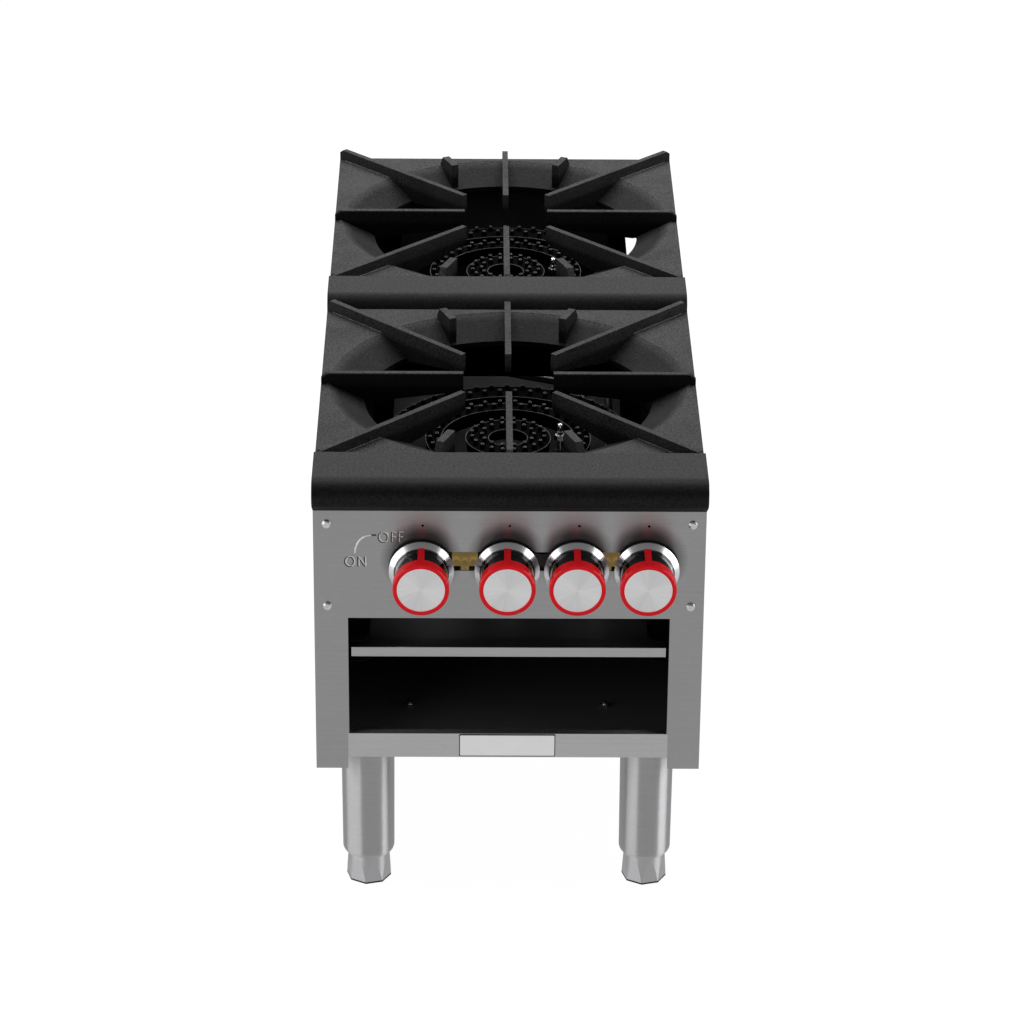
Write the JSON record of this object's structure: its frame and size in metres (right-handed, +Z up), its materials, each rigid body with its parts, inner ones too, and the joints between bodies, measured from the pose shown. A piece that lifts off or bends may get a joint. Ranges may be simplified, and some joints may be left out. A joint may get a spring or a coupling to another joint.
{
  "type": "stock pot range",
  "caption": "Low gas stock pot range: stainless cabinet on round legs, knobs in front, and one cast burner behind the other under ribbed black grates.",
  "frame": {"origin": "floor level under the middle of the range's outer box", "axes": "+Z up, +X to the right seen from the front, +Y to the back; the knobs face -Y"},
  "size_m": [0.457, 1.13, 0.5754],
  "materials": {
    "stainless": "brushed across, satin",
    "cabinet_floor_steel": "satin",
    "back_steel": "plain galvanised",
    "black_enamel": "matte black",
    "grate_iron": "rough cast, matte black",
    "burner_iron": "rough cast, dark grey",
    "inner_steel": "aluminised, dull",
    "plated_steel": "zinc plated",
    "brass": "machined",
    "aluminium_tube": "drawn tube",
    "black_pipe": "black, slightly rough",
    "pilot_steel": "turned, plated",
    "tray_steel": "satin",
    "screw_steel": "plain",
    "knob_chrome": "spun, polished",
    "knob_red": "glossy red",
    "knob_face": "spun, concentric grain",
    "stem_steel": "plain",
    "leg_steel": "brushed round",
    "foot_steel": "plain"
  },
  "bodies": {
    "cabinet": {"left_side_panel": "stainless", "right_side_panel": "stainless", "control_panel": "stainless", "cabinet_floor": "cabinet_floor_steel", "back_panel": "back_steel", "front_ledge": "black_enamel", "middle_ledge": "black_enamel", "side_rims": "black_enamel", "rear_rim": "black_enamel", "crossmember": "inner_steel", "heat_baffle": "inner_steel", "burner_rails": "inner_steel", "front_inner_burner": "burner_iron", "front_outer_burner": "burner_iron", "rear_inner_burner": "burner_iron", "rear_outer_burner": "burner_iron", "air_shutters": "plated_steel", "orifice_hoods": "brass", "feed_tubes": "aluminium_tube", "burner_valves": "brass", "manifold": "black_pipe", "supply_pipe": "black_pipe", "supply_elbow": "black_pipe", "manifold_brackets": "plated_steel", "pilot_valves": "brass", "pilot_tubes": "aluminium_tube", "pilot_burners": "pilot_steel", "pilot_brackets": "plated_steel", "tray_runners": "inner_steel", "runner_hangers": "inner_steel", "panel_screws": "screw_steel", "leg_bolts": "screw_steel", "leg_front_left": "leg_steel", "leg_rear_left": "leg_steel", "leg_front_right": "leg_steel", "leg_rear_right": "leg_steel"},
    "front_grate": {"front_grate": "grate_iron"},
    "rear_grate": {"rear_grate": "grate_iron"},
    "drip_tray": {"drip_tray": "tray_steel"},
    "knob_1": {"knob_body_1": "knob_chrome", "knob_ring_1": "knob_red", "knob_face_1": "knob_face", "valve_stem_1": "stem_steel"},
    "knob_2": {"knob_body_2": "knob_chrome", "knob_ring_2": "knob_red", "knob_face_2": "knob_face", "valve_stem_2": "stem_steel"},
    "knob_3": {"knob_body_3": "knob_chrome", "knob_ring_3": "knob_red", "knob_face_3": "knob_face", "valve_stem_3": "stem_steel"},
    "knob_4": {"knob_body_4": "knob_chrome", "knob_ring_4": "knob_red", "knob_face_4": "knob_face", "valve_stem_4": "stem_steel"},
    "foot_front_left": {"foot_front_left": "foot_steel"},
    "foot_rear_left": {"foot_rear_left": "foot_steel"},
    "foot_front_right": {"foot_front_right": "foot_steel"},
    "foot_rear_right": {"foot_rear_right": "foot_steel"}
  },
  "joints": [
    {"name": "knob_1_turn", "type": "hinge", "parent": "cabinet", "child": "knob_1", "pos_m": [-0.1026, -0.496, 0.451], "axis": [0, -1, 0], "range_deg": [0, 90]},
    {"name": "knob_2_turn", "type": "hinge", "parent": "cabinet", "child": "knob_2", "pos_m": [-0.0026, -0.496, 0.451], "axis": [0, -1, 0], "range_deg": [0, 90]},
    {"name": "knob_3_turn", "type": "hinge", "parent": "cabinet", "child": "knob_3", "pos_m": [0.0784, -0.496, 0.451], "axis": [0, -1, 0], "range_deg": [0, 90]},
    {"name": "knob_4_turn", "type": "hinge", "parent": "cabinet", "child": "knob_4", "pos_m": [0.1603, -0.496, 0.451], "axis": [0, -1, 0], "range_deg": [0, 90]},
    {"name": "tray_slide", "type": "slide", "parent": "cabinet", "child": "drip_tray", "axis": [0, -1, 0], "range_m": [0, 0.7]},
    {"name": "front_grate_lift", "type": "slide", "parent": "cabinet", "child": "front_grate", "axis": [0, 0, 1], "range_m": [0, 0.15]},
    {"name": "rear_grate_lift", "type": "slide", "parent": "cabinet", "child": "rear_grate", "axis": [0, 0, 1], "range_m": [0, 0.15]},
    {"name": "foot_front_left_level", "type": "slide", "parent": "cabinet", "child": "foot_front_left", "axis": [0, 0, -1], "range_m": [0, 0.025]},
    {"name": "foot_rear_left_level", "type": "slide", "parent": "cabinet", "child": "foot_rear_left", "axis": [0, 0, -1], "range_m": [0, 0.025]},
    {"name": "foot_front_right_level", "type": "slide", "parent": "cabinet", "child": "foot_front_right", "axis": [0, 0, -1], "range_m": [0, 0.025]},
    {"name": "foot_rear_right_level", "type": "slide", "parent": "cabinet", "child": "foot_rear_right", "axis": [0, 0, -1], "range_m": [0, 0.025]}
  ]
}
